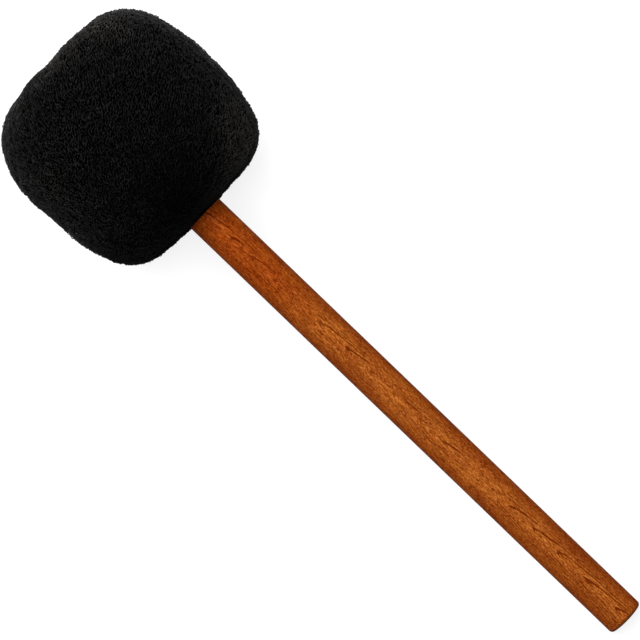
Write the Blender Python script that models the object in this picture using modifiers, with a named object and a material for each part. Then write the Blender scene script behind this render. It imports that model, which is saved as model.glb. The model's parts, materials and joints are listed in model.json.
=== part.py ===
"""Gong mallet lying on its side: a turned hardwood shaft in a weighted head under a fleece cover.

Each piece is made round its own local Z, which is the mallet's axis: zero is the butt end and
the crown of the head is at the top. In that local frame +Y is the fuller side of the head and
-X is the side that lies on the floor. One empty, tilted until the butt and the head both touch
the floor, carries every piece. Lengths are in metres.
"""

import math

import bmesh
import bpy
from mathutils import Matrix, Vector

# Clearances
SEAT_GAP = 0.0003
WOUND_GAP = 0.0005

# Shaft
SHAFT_DIAMETER = 0.0222
SHAFT_SHOWN_LENGTH = 0.3160
BUTT_EDGE_RADIUS = 0.0023
BUTT_DOME_HEIGHT = 0.0005
BUTT_FLAT_DIAMETER = 0.0080
TENON_DIAMETER = 0.0180
TENON_CHAMFER = 0.0010
TENON_SHORTFALL = 0.0005

# Outline of the head, measured from its neck face
HEAD_LENGTH = 0.1170
HEAD_RADIUS_FULL_SIDE = 0.0634
HEAD_RADIUS_LEAN_SIDE = 0.0607
HEAD_WIDEST_AT = 0.0667
NECK_HALF_POWER = 2.6
CROWN_HALF_POWER = 1.7
FULL_SIDE_POWER = 5.7
LEAN_SIDE_POWER = 4.9
FLOOR_FLAT_DEPTH = 0.0010

# Fleece cover
COVER_WALL = 0.0065
NECK_LIP_RADIUS = 0.0028
HEM_WALL = 0.0030
HEM_LENGTH = 0.0095
GATHER_FOLDS = 6
GATHER_FOLD_DEPTH = 0.0022
GATHER_REACH = 0.8
CROWN_DIMPLE_RADIUS = 0.0060
CROWN_DIMPLE_DEPTH = 0.0030
CROWN_KNOT_RADIUS = 0.0065
CROWN_KNOT_LENGTH = 0.0090

# Cords
TIE_DIAMETER = 0.0014
NECK_TIE_TURNS = 3
CROWN_TIE_TURNS = 3
TWINE_DIAMETER = 0.0014
TWINE_TURNS = 5
TWINE_FROM_WRAP_END = 0.0120

# Core and weight
CORE_DIAMETER = 0.0600
CORE_EDGE_RADIUS = 0.0020
WEIGHT_DIAMETER = 0.0480
WEIGHT_HEIGHT = 0.0120
WEIGHT_CHAMFER = 0.0008

# Screw and washer that clamp the core and the weight to the shaft
SCREW_SHANK_DIAMETER = 0.0050
SCREW_SHANK_LENGTH = 0.0400
SCREW_POINT_LENGTH = 0.0060
SCREW_HEAD_DIAMETER = 0.0104
SCREW_HEAD_HEIGHT = 0.0034
SCREW_SLOT_WIDTH = 0.0013
SCREW_SLOT_DEPTH = 0.0014
WASHER_DIAMETER = 0.0260
WASHER_THICKNESS = 0.0016
RECESS_HEADROOM = 0.0006

# Felt, pads and wadding
FELT_THICKNESS = 0.0040
FELT_TURNS = 4
FELT_SKIVED_EDGE = 0.0008
FELT_SETBACK = 0.0080
NECK_PAD_THICKNESS = 0.0110
END_PAD_THICKNESS = 0.0120
KNOT_HEADROOM = 0.0004

# Counts of sides and points
SOFT_SIDES = 32
SHAFT_SIDES = 64
TURNED_SIDES = 48
SMALL_SIDES = 24
COIL_POINTS = 24
COIL_BEVEL_RESOLUTION = 1
ARC_POINTS = 5
NECK_STEPS = (6, 14, 23, 33, 45, 58, 70, 81)
CROWN_STEPS = (14, 28, 42, 56, 70, 80, 87)
INNER_STEPS = (20, 40, 58)
MERGE_DISTANCE = 0.00001

# Radii of what fits on or in what
shaft_radius = SHAFT_DIAMETER / 2
tenon_radius = TENON_DIAMETER / 2
core_radius = CORE_DIAMETER / 2
pad_radius = core_radius
wadding_lip_radius = core_radius + SEAT_GAP
screw_radius = SCREW_SHANK_DIAMETER / 2
head_mean_radius = (HEAD_RADIUS_FULL_SIDE + HEAD_RADIUS_LEAN_SIDE) / 2
head_out_of_round = (HEAD_RADIUS_FULL_SIDE - HEAD_RADIUS_LEAN_SIDE) / 2
mean_side_power = (FULL_SIDE_POWER + LEAN_SIDE_POWER) / 2
side_power_spread = (FULL_SIDE_POWER - LEAN_SIDE_POWER) / 2
cover_inner_radius = min(HEAD_RADIUS_FULL_SIDE, HEAD_RADIUS_LEAN_SIDE) - COVER_WALL
hem_inner_radius = shaft_radius + SEAT_GAP
hem_outer_radius = hem_inner_radius + HEM_WALL
facet = math.cos(math.pi / SOFT_SIDES)
coil_facet = math.cos(math.pi / COIL_POINTS)

# Heights along the mallet's axis, from the butt end
neck_face = SHAFT_SHOWN_LENGTH
crown_face = neck_face + HEAD_LENGTH
widest = neck_face + HEAD_WIDEST_AT
neck_pad_start = neck_face + COVER_WALL + SEAT_GAP
core_start = neck_pad_start + NECK_PAD_THICKNESS + SEAT_GAP
end_pad_end = crown_face - COVER_WALL - SEAT_GAP
core_end = end_pad_end - END_PAD_THICKNESS - SEAT_GAP
shoulder = core_start - SEAT_GAP
weight_floor = core_start + WEIGHT_HEIGHT + SEAT_GAP
recess_depth = SEAT_GAP + WASHER_THICKNESS + SEAT_GAP + SCREW_HEAD_HEIGHT + RECESS_HEADROOM
recess_floor = core_end - recess_depth
tenon_end = recess_floor - TENON_SHORTFALL
washer_start = recess_floor + SEAT_GAP
screw_seat = washer_start + WASHER_THICKNESS + SEAT_GAP
wrap_start = core_start + FELT_SETBACK
wrap_end = core_end - FELT_SETBACK
wrap_middle = (wrap_start + wrap_end) / 2

# The felt is skived thin at both ends of the strip, so its outside stays round
felt_start_radius = core_radius + SEAT_GAP
felt_pitch = FELT_THICKNESS + WOUND_GAP
felt_outer_radius = felt_start_radius + FELT_SKIVED_EDGE + felt_pitch * (FELT_TURNS - 1)
wadding_bore = felt_outer_radius + SEAT_GAP


def coil_radius(held_radius, diameter):
    """Radius of a coil's centre line, such that its chords stay clear of what it is wound on."""
    return (held_radius + SEAT_GAP) / coil_facet + diameter / 2


def clear_of_coil(held_radius, diameter):
    """Radius of a hole that goes round such a coil."""
    return (coil_radius(held_radius, diameter) + diameter / 2 + SEAT_GAP) / facet


twine_groove_radius = clear_of_coil(felt_outer_radius, TWINE_DIAMETER)
twine_pitch = TWINE_DIAMETER + WOUND_GAP
twine_groove_half = (TWINE_TURNS * twine_pitch + TWINE_DIAMETER) / 2 + SEAT_GAP
twine_neck_middle = wrap_start + TWINE_FROM_WRAP_END
twine_crown_middle = wrap_end - TWINE_FROM_WRAP_END


def clear_the_scene():
    for obj in list(bpy.data.objects):
        bpy.data.objects.remove(obj, do_unlink=True)
    for collection in list(bpy.data.collections):
        bpy.data.collections.remove(collection)


def new_collection(name):
    collection = bpy.data.collections.new(name)
    bpy.context.scene.collection.children.link(collection)
    return collection


def principled(name, colour, roughness, metallic=0.0):
    material = bpy.data.materials.new(name)
    material.use_nodes = True
    shader = material.node_tree.nodes["Principled BSDF"]
    shader.inputs["Base Color"].default_value = (*colour, 1.0)
    shader.inputs["Roughness"].default_value = roughness
    shader.inputs["Metallic"].default_value = metallic
    return material


def arc(centre, radius, start_degrees, end_degrees, points=ARC_POINTS):
    """Points (radius, height) on an arc of a turned profile."""
    found = []
    for i in range(points):
        angle = math.radians(start_degrees + (end_degrees - start_degrees) * i / (points - 1))
        found.append((centre[0] + radius * math.cos(angle), centre[1] + radius * math.sin(angle)))
    return found


def place(name, data, material, collection, parent):
    obj = bpy.data.objects.new(name, data)
    collection.objects.link(obj)
    obj.parent = parent
    data.materials.append(material)
    return obj


def turned(name, profile, sides, material, collection, parent, roll=0.0):
    """A piece turned on the axis. The profile is (radius, height) and runs down its outer side."""
    mesh = bpy.data.meshes.new(name)
    edges = [(i, i + 1) for i in range(len(profile) - 1)]
    if profile[0][0] > 0:
        edges.append((len(profile) - 1, 0))
    mesh.from_pydata([(r, 0.0, z) for r, z in profile], edges, [])
    obj = place(name, mesh, material, collection, parent)
    obj.rotation_euler[2] = roll
    screw = obj.modifiers.new("Turn", "SCREW")
    screw.axis = "Z"
    screw.angle = math.tau
    screw.steps = sides
    screw.render_steps = sides
    screw.use_merge_vertices = True
    screw.merge_threshold = MERGE_DISTANCE
    screw.use_smooth_shade = True
    return obj


def coil(name, radius, diameter, turns, middle, material, collection, parent):
    """A cord wound round the axis, its turns a wound gap apart."""
    pitch = diameter + WOUND_GAP
    count = turns * COIL_POINTS
    points = []
    for i in range(count + 1):
        angle = math.tau * i / COIL_POINTS
        height = middle + pitch * (i / COIL_POINTS - turns / 2)
        points.append(Vector((radius * math.cos(angle), radius * math.sin(angle), height)))
    data = bpy.data.curves.new(name, "CURVE")
    data.dimensions = "3D"
    data.bevel_depth = diameter / 2
    data.bevel_resolution = COIL_BEVEL_RESOLUTION
    data.use_fill_caps = True
    spline = data.splines.new("POLY")
    spline.points.add(count)
    for point, place_at in zip(spline.points, points):
        point.co = (*place_at, 1.0)
    least = min(
        (points[i] - points[j]).length
        for i in range(count + 1)
        for j in range(i + COIL_POINTS // 2, count + 1)
    )
    print(f"{name}: least gap between turns {1000 * (least - diameter):.2f} mm")
    return place(name, data, material, collection, parent)


# Shaft


def shaft_profile():
    pilot_radius = screw_radius + SEAT_GAP
    pilot_end = screw_seat - SCREW_SHANK_LENGTH - SEAT_GAP
    profile = [
        (0.0, pilot_end - pilot_radius / 2),
        (pilot_radius, pilot_end + SCREW_POINT_LENGTH / 2),
        (pilot_radius, tenon_end),
        (tenon_radius - TENON_CHAMFER, tenon_end),
        (tenon_radius, tenon_end - TENON_CHAMFER),
        (tenon_radius, shoulder),
        (shaft_radius, shoulder),
    ]
    edge_height = BUTT_DOME_HEIGHT + BUTT_EDGE_RADIUS
    profile += arc((shaft_radius - BUTT_EDGE_RADIUS, edge_height), BUTT_EDGE_RADIUS, 0, -82)
    profile.append((BUTT_FLAT_DIAMETER / 2, 0.0))
    profile.append((0.0, 0.0))
    return profile


# Head outline


def head_point(half, step, radius, side_power, neck_length, crown_length):
    """A point of the outline at a step in degrees: 0 is the widest place and 90 the axis."""
    angle = math.radians(step)
    reach = math.sin(angle) ** (2 / (NECK_HALF_POWER if half == "neck" else CROWN_HALF_POWER))
    height = widest - neck_length * reach if half == "neck" else widest + crown_length * reach
    return radius * math.cos(angle) ** (2 / side_power), height


def outer_point(half, step, angle):
    """The cover's outer surface, which is fuller and squarer towards local +Y."""
    radius = head_mean_radius + head_out_of_round * math.sin(angle)
    side_power = mean_side_power + side_power_spread * math.sin(angle)
    lengths = (HEAD_WIDEST_AT, HEAD_LENGTH - HEAD_WIDEST_AT)
    return head_point(half, step, radius, side_power, *lengths)


def lining_point(half, step, clearance=0.0):
    """The cover's inner surface, or what lies inside it with this clearance."""
    neck_length = HEAD_WIDEST_AT - COVER_WALL - clearance
    crown_length = HEAD_LENGTH - HEAD_WIDEST_AT - COVER_WALL - clearance
    radius = cover_inner_radius - clearance
    return head_point(half, step, radius, LEAN_SIDE_POWER, neck_length, crown_length)


def lip_step():
    """The step at which the inside of the cover comes in to the wadding's lip."""
    share = wadding_lip_radius / (cover_inner_radius - SEAT_GAP)
    return math.degrees(math.acos(share ** (LEAN_SIDE_POWER / 2)))


def last_step():
    """A step well inside the pads, where the cover's inside is nearly flat."""
    return (lip_step() + 90) / 2


def inner_steps():
    return (*INNER_STEPS, lip_step(), last_step())


# Fleece cover


def fold_depth(radius, angle):
    """Depth of the gathers, which fade out towards the head's corners and in the crown's dimple.

    Their ridges lie on the fuller and the leaner side, and one gather lies on top.
    """
    fade = max(0.0, 1.0 - radius / (GATHER_REACH * head_mean_radius))
    fade *= min(1.0, radius / (2 * CROWN_DIMPLE_RADIUS))
    wave = math.cos(GATHER_FOLDS * (angle - math.pi / 2))
    return GATHER_FOLD_DEPTH * fade * (1 - wave) / 2


def folded(radius, height, angle):
    """The point of the outer surface, drawn towards the middle of the head in each gather."""
    depth = fold_depth(radius, angle)
    length = math.hypot(radius, height - widest)
    radius -= depth * radius / length
    height -= depth * (height - widest) / length
    return Vector((radius * math.cos(angle), radius * math.sin(angle), height))


def ring(point_at):
    """One ring of the cover, a side of which faces the floor."""
    angles = [math.tau * (i + 0.5) / SOFT_SIDES for i in range(SOFT_SIDES)]
    return [point_at(angle) for angle in angles]


def plain_ring(radius, height):
    return ring(lambda a: Vector((radius * math.cos(a), radius * math.sin(a), height)))


def outer_rings():
    """From the crown's dimple over the outside to the neck's lip."""
    rings = []
    for radius, drop in ((0.5, 0.8), (1.0, 0.25), (1.7, 0.05)):
        at = CROWN_DIMPLE_RADIUS * radius
        height = crown_face - CROWN_DIMPLE_DEPTH * drop
        rings.append(ring(lambda a, r=at, h=height: folded(r, h, a)))
    for step in reversed(CROWN_STEPS):
        rings.append(ring(lambda a, s=step: folded(*outer_point("crown", s, a), a)))
    for step in (0, *NECK_STEPS):
        rings.append(ring(lambda a, s=step: folded(*outer_point("neck", s, a), a)))
    lip = hem_inner_radius + NECK_LIP_RADIUS
    rings.append(ring(lambda a: folded((lip + core_radius) / 2, neck_face, a)))
    rings.append(ring(lambda a: folded(lip, neck_face, a)))
    rings.append(plain_ring(lip - 0.7 * NECK_LIP_RADIUS, neck_face + 0.3 * NECK_LIP_RADIUS))
    return rings


def inner_rings():
    """From the neck's lip along the hem and over the inside to the crown's knot."""
    hem_end = neck_face + COVER_WALL + HEM_LENGTH
    rings = [
        plain_ring(hem_inner_radius, neck_face + NECK_LIP_RADIUS),
        plain_ring(hem_inner_radius, hem_end),
        plain_ring(hem_outer_radius, hem_end),
        plain_ring(hem_outer_radius, neck_face + COVER_WALL),
    ]
    for step in reversed(inner_steps()):
        rings.append(plain_ring(*lining_point("neck", step)))
    for step in (0, *inner_steps()):
        rings.append(plain_ring(*lining_point("crown", step)))
    knot_base = crown_face - COVER_WALL
    rings.append(plain_ring(CROWN_KNOT_RADIUS, knot_base))
    rings.append(plain_ring(CROWN_KNOT_RADIUS, knot_base - CROWN_KNOT_LENGTH))
    return rings


def height_over_floor(point, tilt):
    """Height of a local point above a floor through the butt's centre, at this tilt."""
    return point[0] * math.cos(tilt) + point[2] * math.sin(tilt)


def lowest(points, tilt):
    return min(height_over_floor(point, tilt) for point in points)


def resting_tilt(butt_points, head_points):
    """The tilt at which the floor touches the butt and lies the flat's depth inside the head."""
    low, high = 0.0, math.radians(45)
    for _ in range(50):
        tilt = (low + high) / 2
        if lowest(head_points, tilt) + FLOOR_FLAT_DEPTH < lowest(butt_points, tilt):
            low = tilt
        else:
            high = tilt
    return tilt


def pressed_flat(rings, tilt, floor):
    """The rings with what would lie under the floor moved up to it."""
    up = Vector((math.cos(tilt), 0.0, math.sin(tilt)))
    for one in rings:
        for point in one:
            under = floor - height_over_floor(point, tilt)
            if under > 0:
                point += up * under
    return rings


def loft(name, rings, first, last):
    """A closed skin over rings of equal count, with a point at each end."""
    mesh = bmesh.new()
    loops = [[mesh.verts.new(point) for point in one] for one in rings]
    ends = (mesh.verts.new(first), mesh.verts.new(last))
    for upper, lower in zip(loops, loops[1:]):
        for i in range(SOFT_SIDES):
            j = (i + 1) % SOFT_SIDES
            mesh.faces.new((upper[i], lower[i], lower[j], upper[j]))
    for i in range(SOFT_SIDES):
        j = (i + 1) % SOFT_SIDES
        mesh.faces.new((ends[0], loops[0][i], loops[0][j]))
        mesh.faces.new((ends[1], loops[-1][j], loops[-1][i]))
    data = bpy.data.meshes.new(name)
    mesh.to_mesh(data)
    mesh.free()
    data.shade_smooth()
    return data


def fleece_cover(rings, material, collection, parent):
    dimple = Vector((0.0, 0.0, crown_face - CROWN_DIMPLE_DEPTH))
    knot = Vector((0.0, 0.0, crown_face - COVER_WALL - CROWN_KNOT_LENGTH))
    data = loft("fleece_cover", rings, dimple, knot)
    return place("fleece_cover", data, material, collection, parent)


# Inside the head


def core_profile():
    bore = tenon_radius + SEAT_GAP
    weight_bore = WEIGHT_DIAMETER / 2 + SEAT_GAP
    recess_radius = WASHER_DIAMETER / 2 + SEAT_GAP
    edge = CORE_EDGE_RADIUS
    profile = [(bore, weight_floor), (bore, recess_floor)]
    profile += [(recess_radius, recess_floor), (recess_radius, core_end)]
    profile += arc((core_radius - edge, core_end - edge), edge, 90, 0)
    profile += arc((core_radius - edge, core_start + edge), edge, 0, -90)
    profile += [(weight_bore, core_start), (weight_bore, weight_floor)]
    return profile


def weight_profile():
    inner = tenon_radius + SEAT_GAP
    outer = WEIGHT_DIAMETER / 2
    top = core_start + WEIGHT_HEIGHT
    chamfer = WEIGHT_CHAMFER
    return [
        (inner, top),
        (outer - chamfer, top),
        (outer, top - chamfer),
        (outer, core_start + chamfer),
        (outer - chamfer, core_start),
        (inner, core_start),
    ]


def washer_profile():
    inner = screw_radius + SEAT_GAP
    outer = WASHER_DIAMETER / 2
    top = washer_start + WASHER_THICKNESS
    return [(inner, top), (outer, top), (outer, washer_start), (inner, washer_start)]


def screw_profile():
    radius = SCREW_HEAD_DIAMETER / 2
    top = screw_seat + SCREW_HEAD_HEIGHT
    rise = 0.8 * SCREW_HEAD_HEIGHT
    profile = [(0.0, top)]
    for degrees in (65, 45, 25, 0):
        angle = math.radians(degrees)
        height = top - rise + rise * math.sin(angle)
        profile.append((radius * math.cos(angle), height))
    point = screw_seat - SCREW_SHANK_LENGTH
    profile.append((radius, screw_seat))
    profile.append((screw_radius, screw_seat))
    profile.append((screw_radius, point + SCREW_POINT_LENGTH))
    profile.append((0.0, point))
    return profile


def cut_slot(screw, cutters, parent):
    """The driver's slot across the screw's head, cut deeper than the head's dome."""
    bpy.ops.mesh.primitive_cube_add(size=1)
    slot = bpy.context.active_object
    slot.name = "screw_slot"
    for collection in list(slot.users_collection):
        collection.objects.unlink(slot)
    cutters.objects.link(slot)
    slot.parent = parent
    top = screw_seat + SCREW_HEAD_HEIGHT
    slot.scale = (2 * SCREW_HEAD_DIAMETER, SCREW_SLOT_WIDTH, 2 * SCREW_SLOT_DEPTH)
    slot.location = (0.0, 0.0, top)
    slot.hide_render = True
    slot.display_type = "WIRE"
    cut = screw.modifiers.new("Slot", "BOOLEAN")
    cut.operation = "DIFFERENCE"
    cut.object = slot


def pad_edge(half):
    """The cover's inside from the pad's edge inwards, with a clearance."""
    steps = (lip_step(), last_step())
    points = [lining_point(half, step, SEAT_GAP) for step in steps]
    return [(min(radius, pad_radius), height) for radius, height in points]


def neck_pad_profile():
    hole = clear_of_coil(hem_outer_radius, TIE_DIAMETER)
    top = neck_pad_start + NECK_PAD_THICKNESS
    return [(hole, top), (pad_radius, top), *pad_edge("neck"), (hole, neck_pad_start)]


def end_pad_profile():
    hole = clear_of_coil(CROWN_KNOT_RADIUS, TIE_DIAMETER)
    floor = end_pad_end - CROWN_KNOT_LENGTH - KNOT_HEADROOM
    rim = [(hole, floor), (hole, end_pad_end), *reversed(pad_edge("crown"))]
    base = core_end + SEAT_GAP
    return [(0.0, floor), *rim, (pad_radius, base), (0.0, base)]


def wadding_profile():
    """Full at the sides and drawn in over the ends of the felt, down to the core and the pads."""
    lip = wadding_lip_radius
    profile = [(lip, wrap_end + SEAT_GAP)]
    for step in (lip_step(), *reversed(INNER_STEPS)):
        profile.append(lining_point("crown", step, SEAT_GAP))
    for step in (0, *INNER_STEPS, lip_step()):
        profile.append(lining_point("neck", step, SEAT_GAP))
    profile.append((lip, wrap_start - SEAT_GAP))
    profile.append((wadding_bore, wrap_start - SEAT_GAP))
    for middle in (twine_neck_middle, twine_crown_middle):
        for side, radii in (
            (-1, (wadding_bore, twine_groove_radius)),
            (1, (twine_groove_radius, wadding_bore)),
        ):
            profile += [(radius, middle + side * twine_groove_half) for radius in radii]
    profile.append((wadding_bore, wrap_end + SEAT_GAP))
    return profile


def felt_faces():
    """The strip's outer and inner face, as radii at each side's corner along the winding."""
    start_radius = felt_start_radius
    tail = (FELT_SKIVED_EDGE + WOUND_GAP) / felt_pitch
    count = round(SOFT_SIDES * (FELT_TURNS - tail))
    outer, inner = [], []
    for i in range(count + 1):
        turn = i / SOFT_SIDES
        rising = start_radius + FELT_SKIVED_EDGE + felt_pitch * turn
        outer.append(min(rising, felt_outer_radius))
        inner.append(start_radius if turn < 1 else outer[i - SOFT_SIDES] + WOUND_GAP)
    return outer, inner


def felt_wrap(material, collection, parent):
    """One strip of felt wound round the core, an outline extruded by half of its width."""
    outer, inner = felt_faces()
    least = min(inner[i] - outer[i - SOFT_SIDES] for i in range(SOFT_SIDES, len(inner)))
    print(f"felt_wrap: least gap between turns {1000 * least * facet:.2f} mm")
    corners = [(radius, i) for i, radius in enumerate(outer)]
    corners += [(radius, i) for i, radius in reversed(list(enumerate(inner)))]
    data = bpy.data.curves.new("felt_wrap", "CURVE")
    data.dimensions = "2D"
    data.fill_mode = "BOTH"
    data.extrude = (wrap_end - wrap_start) / 2
    spline = data.splines.new("POLY")
    spline.points.add(len(corners) - 1)
    spline.use_cyclic_u = True
    for point, (radius, i) in zip(spline.points, corners):
        angle = math.tau * i / SOFT_SIDES
        point.co = (radius * math.cos(angle), radius * math.sin(angle), 0.0, 1.0)
    obj = place("felt_wrap", data, material, collection, parent)
    obj.location[2] = wrap_middle
    obj.rotation_euler[2] = math.pi / SOFT_SIDES
    return obj


def stand_on_floor(rings):
    """The empty that lays the mallet on the floor, with the cover's rings pressed flat there."""
    butt_points = [(-radius, 0.0, height) for radius, height in shaft_profile()]
    underside = [outer_point("neck", step / 10, math.pi) for step in range(600)]
    head_points = [(-radius, 0.0, height) for radius, height in underside]
    tilt = resting_tilt(butt_points, head_points)
    floor = lowest(butt_points, tilt)
    pressed_flat(rings, tilt, floor)
    turn = Matrix.Rotation(tilt - math.pi / 2, 4, "Y")
    butt_rim = [(radius, 0.0, height) for radius, height in shaft_profile()]
    points = [turn @ point for one in rings for point in one]
    points += [turn @ Vector(point) for point in butt_points + butt_rim]
    middle = [(min(p[i] for p in points) + max(p[i] for p in points)) / 2 for i in (0, 1)]
    axis = bpy.data.objects.new("mallet_axis", None)
    bpy.context.scene.collection.objects.link(axis)
    axis.matrix_world = Matrix.Translation((-middle[0], -middle[1], -floor)) @ turn
    print(f"tilt {math.degrees(tilt):.3f} degrees")
    return axis


def main():
    clear_the_scene()
    parts = new_collection("gong_mallet")
    cutters = new_collection("cutters")
    cutters.hide_render = True

    stained_wood = principled("stained_hardwood", (0.36, 0.10, 0.025), 0.38)
    pale_wood = principled("maple", (0.56, 0.38, 0.21), 0.6)
    steel = principled("steel", (0.50, 0.51, 0.52), 0.35, 1.0)
    zinc = principled("zinc_plated_steel", (0.62, 0.61, 0.56), 0.3, 1.0)
    felt = principled("grey_felt", (0.32, 0.31, 0.29), 0.95)
    pad_felt = principled("white_felt", (0.62, 0.60, 0.54), 0.95)
    wadding = principled("wadding", (0.72, 0.71, 0.68), 1.0)
    fleece = principled("black_fleece", (0.008, 0.008, 0.009), 0.95)
    cord = principled("waxed_cord", (0.03, 0.03, 0.03), 0.7)
    twine = principled("linen_twine", (0.55, 0.44, 0.28), 0.85)

    outside = outer_rings()
    axis = stand_on_floor(outside)
    half_side = math.pi / SOFT_SIDES
    turned("shaft", shaft_profile(), SHAFT_SIDES, stained_wood, parts, axis)
    turned("core", core_profile(), TURNED_SIDES, pale_wood, parts, axis)
    turned("weight_ring", weight_profile(), TURNED_SIDES, steel, parts, axis)
    turned("clamp_washer", washer_profile(), SMALL_SIDES, zinc, parts, axis)
    screw = turned("core_screw", screw_profile(), SMALL_SIDES, zinc, parts, axis)
    cut_slot(screw, cutters, axis)
    felt_wrap(felt, parts, axis)
    for end, middle in (("neck", twine_neck_middle), ("crown", twine_crown_middle)):
        radius = coil_radius(felt_outer_radius, TWINE_DIAMETER)
        name = "wrap_twine_" + end
        coil(name, radius, TWINE_DIAMETER, TWINE_TURNS, middle, twine, parts, axis)
    turned("neck_pad", neck_pad_profile(), SOFT_SIDES, pad_felt, parts, axis, half_side)
    turned("end_pad", end_pad_profile(), SOFT_SIDES, pad_felt, parts, axis, half_side)
    turned("wadding_sleeve", wadding_profile(), SOFT_SIDES, wadding, parts, axis, half_side)
    fleece_cover(outside + inner_rings(), fleece, parts, axis)
    hem_middle = neck_face + COVER_WALL + HEM_LENGTH / 2
    radius = coil_radius(hem_outer_radius, TIE_DIAMETER)
    coil("neck_tie", radius, TIE_DIAMETER, NECK_TIE_TURNS, hem_middle, cord, parts, axis)
    knot_middle = crown_face - COVER_WALL - CROWN_KNOT_LENGTH / 2
    radius = coil_radius(CROWN_KNOT_RADIUS, TIE_DIAMETER)
    coil("crown_tie", radius, TIE_DIAMETER, CROWN_TIE_TURNS, knot_middle, cord, parts, axis)


main()
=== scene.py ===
# %% [markdown]
# # Dressing a gong mallet
#
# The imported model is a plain, exact mallet: a hardwood shaft, a weighted core wound in felt, and a
# fleece cover drawn over it all. This lesson gives each piece the surface of the real one. Only the
# fleece and the shaft show from outside, so they get the most work, but whoever takes the head
# apart finds felt, wadding, twine and cord inside, and these are made as well.
#
# The frame is read once and stays where it is. Everything below is placed from it, in metres.

import json
import math

import bpy
import numpy as np
from mathutils import Matrix, Vector, noise


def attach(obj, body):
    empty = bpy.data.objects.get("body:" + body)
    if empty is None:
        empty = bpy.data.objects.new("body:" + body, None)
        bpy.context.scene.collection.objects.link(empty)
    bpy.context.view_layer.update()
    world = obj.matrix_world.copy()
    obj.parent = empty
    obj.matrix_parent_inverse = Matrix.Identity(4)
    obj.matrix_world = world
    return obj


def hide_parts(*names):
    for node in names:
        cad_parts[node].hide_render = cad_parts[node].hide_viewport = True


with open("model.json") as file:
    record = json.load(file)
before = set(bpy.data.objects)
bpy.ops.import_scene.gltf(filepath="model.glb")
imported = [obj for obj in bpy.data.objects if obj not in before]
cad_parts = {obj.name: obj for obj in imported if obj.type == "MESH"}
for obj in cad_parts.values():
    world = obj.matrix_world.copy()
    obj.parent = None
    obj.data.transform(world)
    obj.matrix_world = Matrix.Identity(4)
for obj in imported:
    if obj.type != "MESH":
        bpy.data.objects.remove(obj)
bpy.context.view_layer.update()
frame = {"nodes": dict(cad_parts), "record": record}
print("CAD nodes:", ", ".join(sorted(frame["nodes"])))

# %% [markdown]
# The mallet lies on the floor, tilted, because its head is thicker than its shaft. It is easier to
# turn pieces upright, so each new piece is made round its own Z axis, with zero at the butt and the
# crown at the top, and one matrix lays it in place. The matrix comes from the butt's mount: its
# place, and the direction that it faces. The mallet's own X then points up from the floor, and
# that is where the camera looks from.

# %% The mallet's own frame
mounts = {mount["name"]: mount for mount in frame["record"]["mounts"]}
butt_centre = Vector(mounts["butt_end"]["pos_m"])
along = -Vector(mounts["butt_end"]["axis"]).normalized()
sideways = Vector((0.0, 1.0, 0.0))
upwards = sideways.cross(along).normalized()
mallet_frame = Matrix((upwards, sideways, along)).transposed().to_4x4()
mallet_frame.translation = butt_centre
mallet_inverse = mallet_frame.inverted()


def node_reach(name):
    """A node's largest radius, and its lowest and highest place along the mallet's axis."""
    points = [mallet_inverse @ vertex.co for vertex in frame["nodes"][name].data.vertices]
    heights = [point.z for point in points]
    return max(math.hypot(point.x, point.y) for point in points), min(heights), max(heights)


shaft_radius, _, tenon_end = node_reach("shaft")
_, neck_face, _ = node_reach("fleece_cover")
print(f"shaft {2000 * shaft_radius:.1f} mm thick, head starts {1000 * neck_face:.1f} mm from the butt")

# %% [markdown]
# ## Camera
#
# The photograph looks square at the mallet, which runs from the top left to the bottom right. A
# long lens keeps the two sides of the shaft as parallel as they are there. The camera is placed by
# the point that it looks at, the width that it takes in, and how far the mallet turns in the frame.

# %% Camera
LENS = 250.0
SENSOR = 36.0
FRAME_WIDTH = 0.3456
AIM_ALONG = 0.2316
AIM_SIDEWAYS = 0.0016
TURN_IN_FRAME = math.atan2(0.7208, 0.6932)

camera_right = sideways * math.cos(TURN_IN_FRAME) - along * math.sin(TURN_IN_FRAME)
camera_up = sideways * math.sin(TURN_IN_FRAME) + along * math.cos(TURN_IN_FRAME)
aim = butt_centre + along * AIM_ALONG + sideways * AIM_SIDEWAYS
distance = FRAME_WIDTH * LENS / SENSOR

camera_data = bpy.data.cameras.new("camera")
camera_data.lens = LENS
camera_data.sensor_width = SENSOR
camera = bpy.data.objects.new("camera", camera_data)
bpy.context.scene.collection.objects.link(camera)
camera.matrix_world = Matrix((camera_right, camera_up, upwards)).transposed().to_4x4()
camera.matrix_world.translation = aim + upwards * distance
bpy.context.scene.camera = camera
print(f"camera {distance:.2f} m away")

# %% [markdown]
# ## Shader helpers
#
# Materials are built from nodes. These helpers keep each material short: one adds a node and sets
# its inputs, and one starts a new material around a Principled shader. Inputs that are the same all
# over a surface are set on the shader itself.

# %% Node helpers


def add_node(tree, kind, inputs=None, **settings):
    """A new node with its settings, whose inputs are values or other nodes' outputs."""
    node = tree.nodes.new(kind)
    for name, value in settings.items():
        setattr(node, name, value)
    for key, value in (inputs or {}).items():
        if isinstance(value, bpy.types.NodeSocket):
            tree.links.new(value, node.inputs[key])
        else:
            node.inputs[key].default_value = value
    return node


def maths(tree, operation, *values):
    inputs = dict(enumerate(values))
    return add_node(tree, "ShaderNodeMath", inputs, operation=operation).outputs[0]


def remap(tree, value, low, high, new_low=0.0, new_high=1.0, smooth=False):
    inputs = {"Value": value, "From Min": low, "From Max": high}
    inputs.update({"To Min": new_low, "To Max": new_high})
    kind = "SMOOTHSTEP" if smooth else "LINEAR"
    return add_node(tree, "ShaderNodeMapRange", inputs, interpolation_type=kind).outputs["Result"]


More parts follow.
